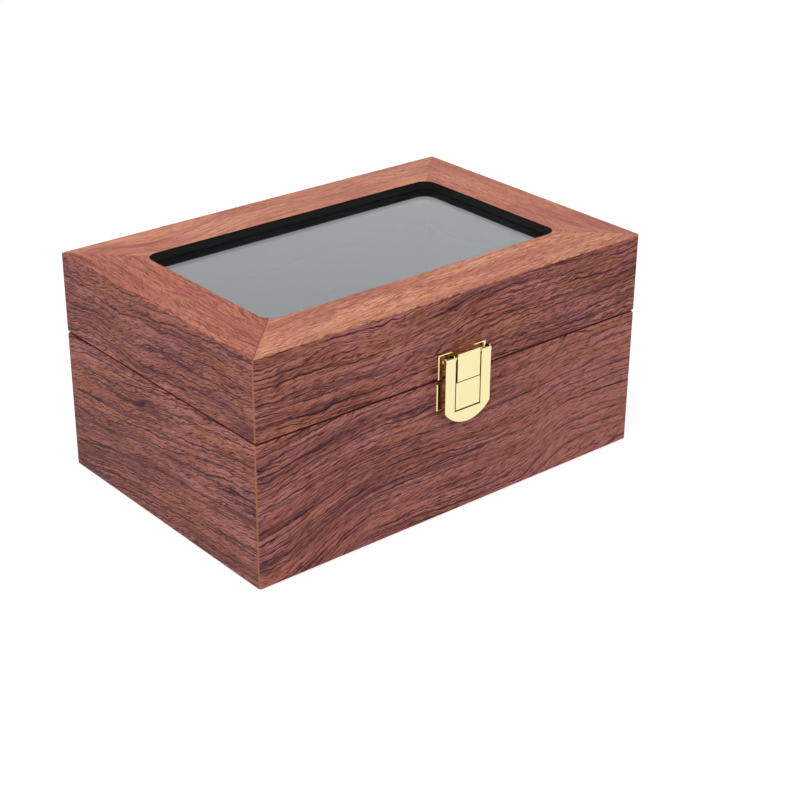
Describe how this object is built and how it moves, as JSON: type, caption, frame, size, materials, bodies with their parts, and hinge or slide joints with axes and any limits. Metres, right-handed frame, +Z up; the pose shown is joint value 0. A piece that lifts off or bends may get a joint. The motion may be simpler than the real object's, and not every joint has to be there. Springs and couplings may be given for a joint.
{
  "type": "watch display box",
  "caption": "Wooden watch display box with a glazed hinged lid, a front snap clasp and lift-out watch pillows.",
  "frame": {"origin": "middle of the underside of the felt, in plan the middle of the wooden case", "axes": "+X along the length, +Y towards the hinges at the back, -Y towards the clasp, +Z up through the glass"},
  "size_m": [0.165, 0.1187, 0.08],
  "materials": {
    "rosewood_veneer": "satin veneer with dark streaks",
    "black_board": "black painted edge",
    "bare_board": "unfinished fibreboard",
    "black_velvet": "velvet over board",
    "pillow_velvet": "velvet over foam",
    "black_felt": "felt",
    "clear_glass": "polished clear glass",
    "bright_gold": "bright pale gold plating",
    "hinge_brass": "bright brass plating"
  },
  "bodies": {
    "base": {"base_felt": "black_felt", "base_floor": "bare_board", "base_liner_back": "black_velvet", "base_liner_front": "black_velvet", "base_liner_left": "black_velvet", "base_liner_right": "black_velvet", "base_wall_back": "rosewood_veneer", "base_wall_front": "rosewood_veneer", "base_wall_left": "rosewood_veneer", "base_wall_right": "rosewood_veneer", "clasp_base_nails": "bright_gold", "clasp_base_plate": "bright_gold", "clasp_catch": "bright_gold", "divider_1": "black_velvet", "divider_2": "black_velvet", "hinge_base_leaf_left": "hinge_brass", "hinge_base_leaf_right": "hinge_brass", "hinge_base_screws": "hinge_brass", "hinge_pin_left": "hinge_brass", "hinge_pin_right": "hinge_brass", "liner_floor": "black_velvet"},
    "lid": {"clasp_lid_nails": "bright_gold", "clasp_lid_plate": "bright_gold", "clasp_pin": "bright_gold", "glass_pane": "clear_glass", "glass_retainer": "black_velvet", "hinge_lid_leaf_left": "hinge_brass", "hinge_lid_leaf_right": "hinge_brass", "hinge_lid_screws": "hinge_brass", "lid_liner_back": "black_velvet", "lid_liner_front": "black_velvet", "lid_liner_left": "black_velvet", "lid_liner_right": "black_velvet", "lid_top_board": "black_board", "lid_wall_back": "rosewood_veneer", "lid_wall_front": "rosewood_veneer", "lid_wall_left": "rosewood_veneer", "lid_wall_right": "rosewood_veneer", "top_veneer_back": "rosewood_veneer", "top_veneer_front": "rosewood_veneer", "top_veneer_left": "rosewood_veneer", "top_veneer_right": "rosewood_veneer"},
    "clasp_flap": {"clasp_flap": "bright_gold"},
    "pillow_1": {"pillow_1": "pillow_velvet"},
    "pillow_2": {"pillow_2": "pillow_velvet"},
    "pillow_3": {"pillow_3": "pillow_velvet"}
  },
  "joints": [
    {"name": "lid_hinge", "type": "hinge", "parent": "base", "child": "lid", "pos_m": [0, 0.0573, 0.0512], "axis": [-1, 0, 0], "range_deg": [0, 95]},
    {"name": "clasp_flap_swing", "type": "hinge", "parent": "lid", "child": "clasp_flap", "pos_m": [0, -0.0576, 0.0586], "axis": [-1, 0, 0], "range_deg": [0, 175], "deforming": ["clasp_catch"]},
    {"name": "pillow_1_lift", "type": "slide", "parent": "base", "child": "pillow_1", "axis": [0, 0, 1], "range_m": [0, 0.028]},
    {"name": "pillow_2_lift", "type": "slide", "parent": "base", "child": "pillow_2", "axis": [0, 0, 1], "range_m": [0, 0.028]},
    {"name": "pillow_3_lift", "type": "slide", "parent": "base", "child": "pillow_3", "axis": [0, 0, 1], "range_m": [0, 0.028]}
  ]
}
